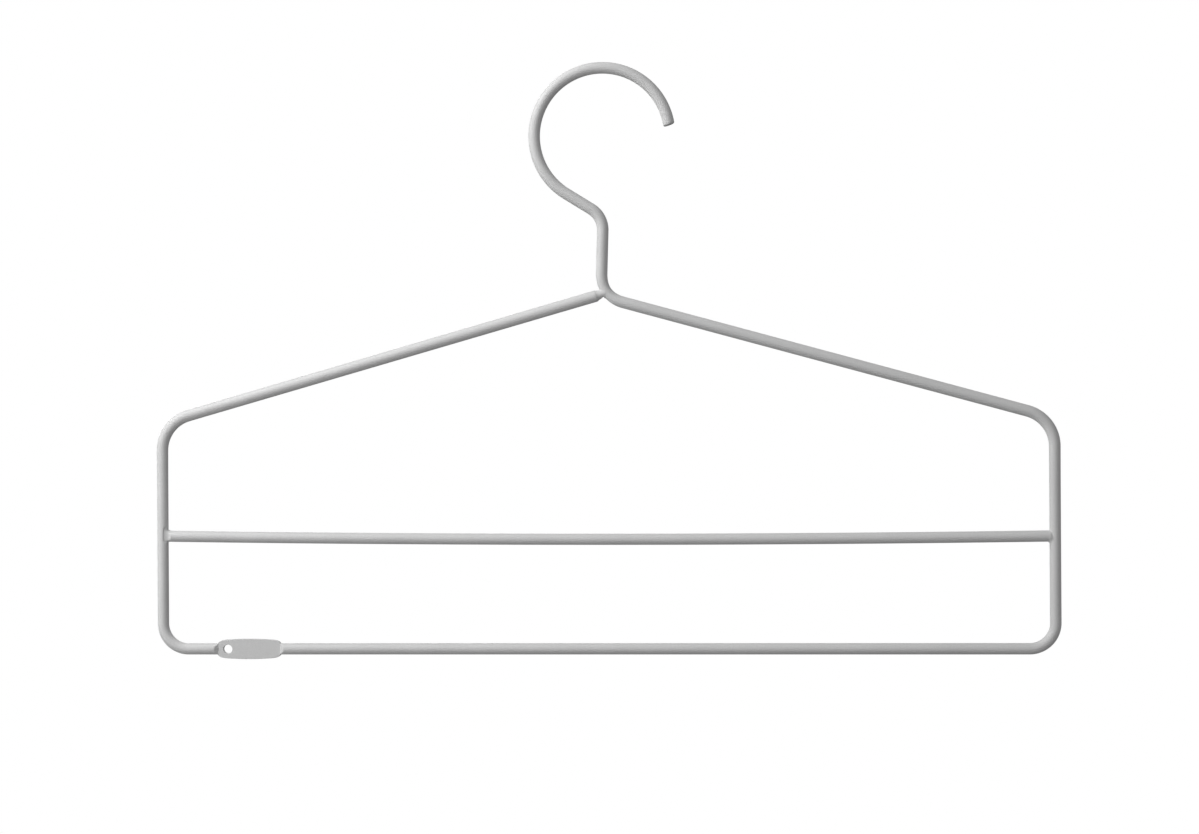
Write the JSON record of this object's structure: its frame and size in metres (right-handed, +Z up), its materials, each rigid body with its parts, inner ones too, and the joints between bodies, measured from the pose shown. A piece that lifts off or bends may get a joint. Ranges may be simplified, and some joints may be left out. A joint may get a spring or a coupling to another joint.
{
  "type": "trouser hanger",
  "caption": "Bent wire trouser hanger with an open hook, sloping shoulders, a welded trouser bar and a bottom bar with a pressed flat that has a hole.",
  "frame": {"origin": "hook seat: the underside of the hook's crown, on the wire's centre plane, where the hanger rests on a rail", "axes": "+Z up, +X along the trouser bar to the right as seen from the front, front faces -Y"},
  "size_m": [0.43, 0.0061, 0.2834],
  "materials": {
    "wire_coat": "light grey matt powder coat on steel wire, fine grain",
    "weld_coat": "the same light grey matt powder coat over the weld beads, slightly uneven"
  },
  "bodies": {
    "root": {"frame_wire": "wire_coat", "trouser_bar": "wire_coat", "neck_weld": "weld_coat", "left_bar_weld": "weld_coat", "right_bar_weld": "weld_coat"}
  },
  "joints": []
}
